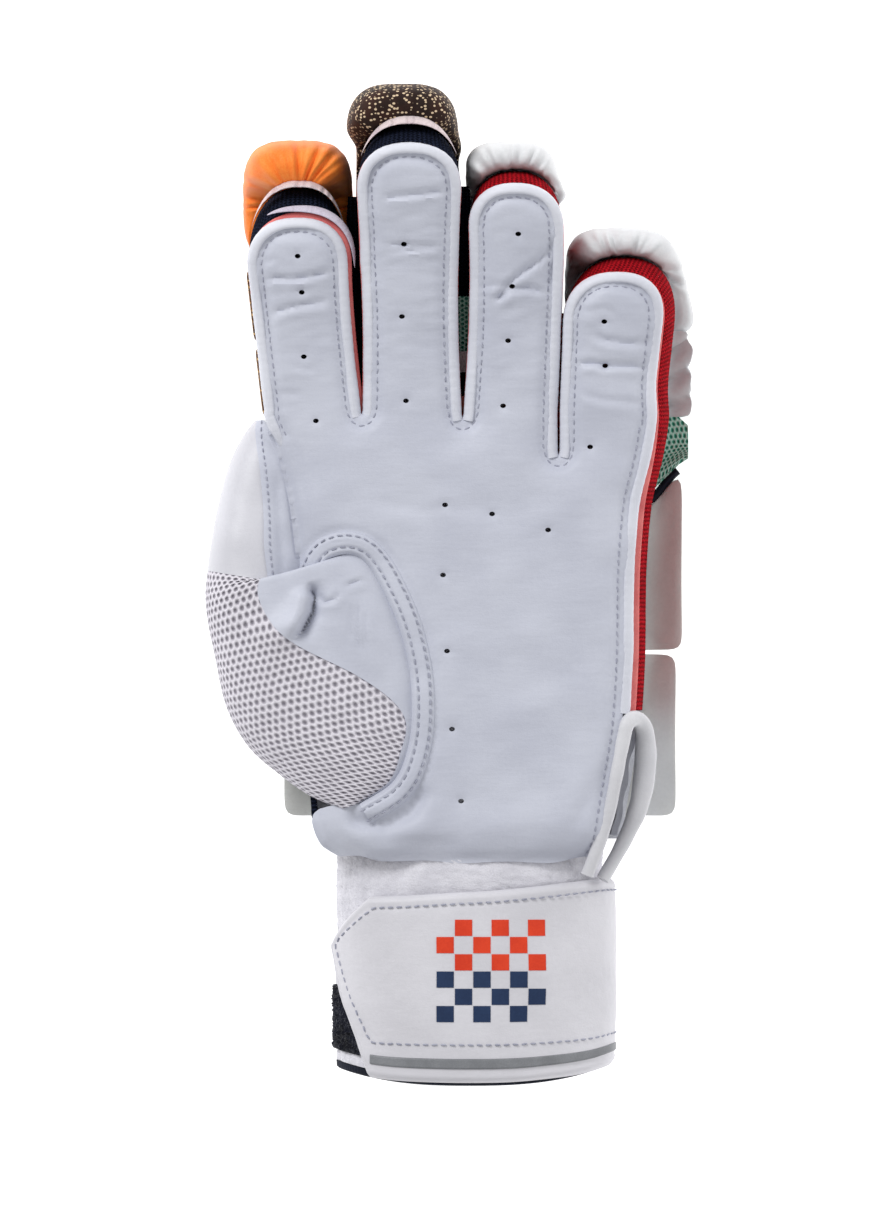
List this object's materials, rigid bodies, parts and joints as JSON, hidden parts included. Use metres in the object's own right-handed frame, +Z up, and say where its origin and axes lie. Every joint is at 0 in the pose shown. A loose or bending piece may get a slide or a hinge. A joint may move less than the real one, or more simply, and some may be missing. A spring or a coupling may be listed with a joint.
{
  "type": "cricket batting glove",
  "caption": "Left-hand cricket batting glove: leather palm, padded finger rolls and back blocks, padded thumb, towelling cuff and wrist strap.",
  "frame": {"origin": "on the floor, under the middle of the glove's bounding box", "axes": "+Y from the cuff to the fingertips, +X towards the little finger, +Z up out of the palm"},
  "size_m": [0.141, 0.2904, 0.074],
  "materials": {
    "palm_leather": "matt smooth leather",
    "white_leather": "matt coated leather",
    "navy_knit": "ribbed knit",
    "red_knit": "ribbed knit",
    "coral_lining": "brushed lining",
    "orange_roll": "matt coated leather",
    "brown_roll": "matt coated leather with cream specks",
    "green_mesh": "woven mesh",
    "navy_tape": "woven tape",
    "grey_netting": "honeycomb netting",
    "terry": "towelling",
    "strap": "smooth coated leather",
    "reflective": "reflective tape"
  },
  "bodies": {
    "root": {"back_panel": "white_leather", "binding_index": "white_leather", "binding_little": "white_leather", "binding_middle": "white_leather", "binding_ring": "white_leather", "block_lower_little_side": "white_leather", "block_lower_middle": "white_leather", "block_lower_thumb_side": "white_leather", "block_upper_little_side": "white_leather", "block_upper_middle": "white_leather", "block_upper_thumb_side": "white_leather", "cuff": "terry", "cuff_hem": "navy_tape", "knuckle_pad": "green_mesh", "knuckle_trim": "navy_tape", "lining_edge_index": "coral_lining", "lining_edge_little": "coral_lining", "lining_edge_middle": "coral_lining", "lining_edge_ring": "coral_lining", "loop_patch": "navy_tape", "palm_leather": "palm_leather", "roll_index_base": "brown_roll", "roll_index_middle": "brown_roll", "roll_index_tip": "orange_roll", "roll_little_base": "white_leather", "roll_little_tip": "white_leather", "roll_middle_base": "brown_roll", "roll_middle_middle": "brown_roll", "roll_middle_tip": "brown_roll", "roll_ring_base": "green_mesh", "roll_ring_middle": "white_leather", "roll_ring_tip": "white_leather", "side_wall": "white_leather", "slit_binding": "white_leather", "stall_wall_index": "navy_knit", "stall_wall_little": "red_knit", "stall_wall_middle": "navy_knit", "stall_wall_ring": "red_knit", "strap": "strap", "strap_stripe": "reflective", "thumb_back": "white_leather", "thumb_leather": "palm_leather", "thumb_netting": "grey_netting", "thumb_pad_base": "white_leather", "thumb_pad_tip": "white_leather", "thumb_side_panel": "white_leather", "thumb_welt": "palm_leather"}
  },
  "joints": []
}
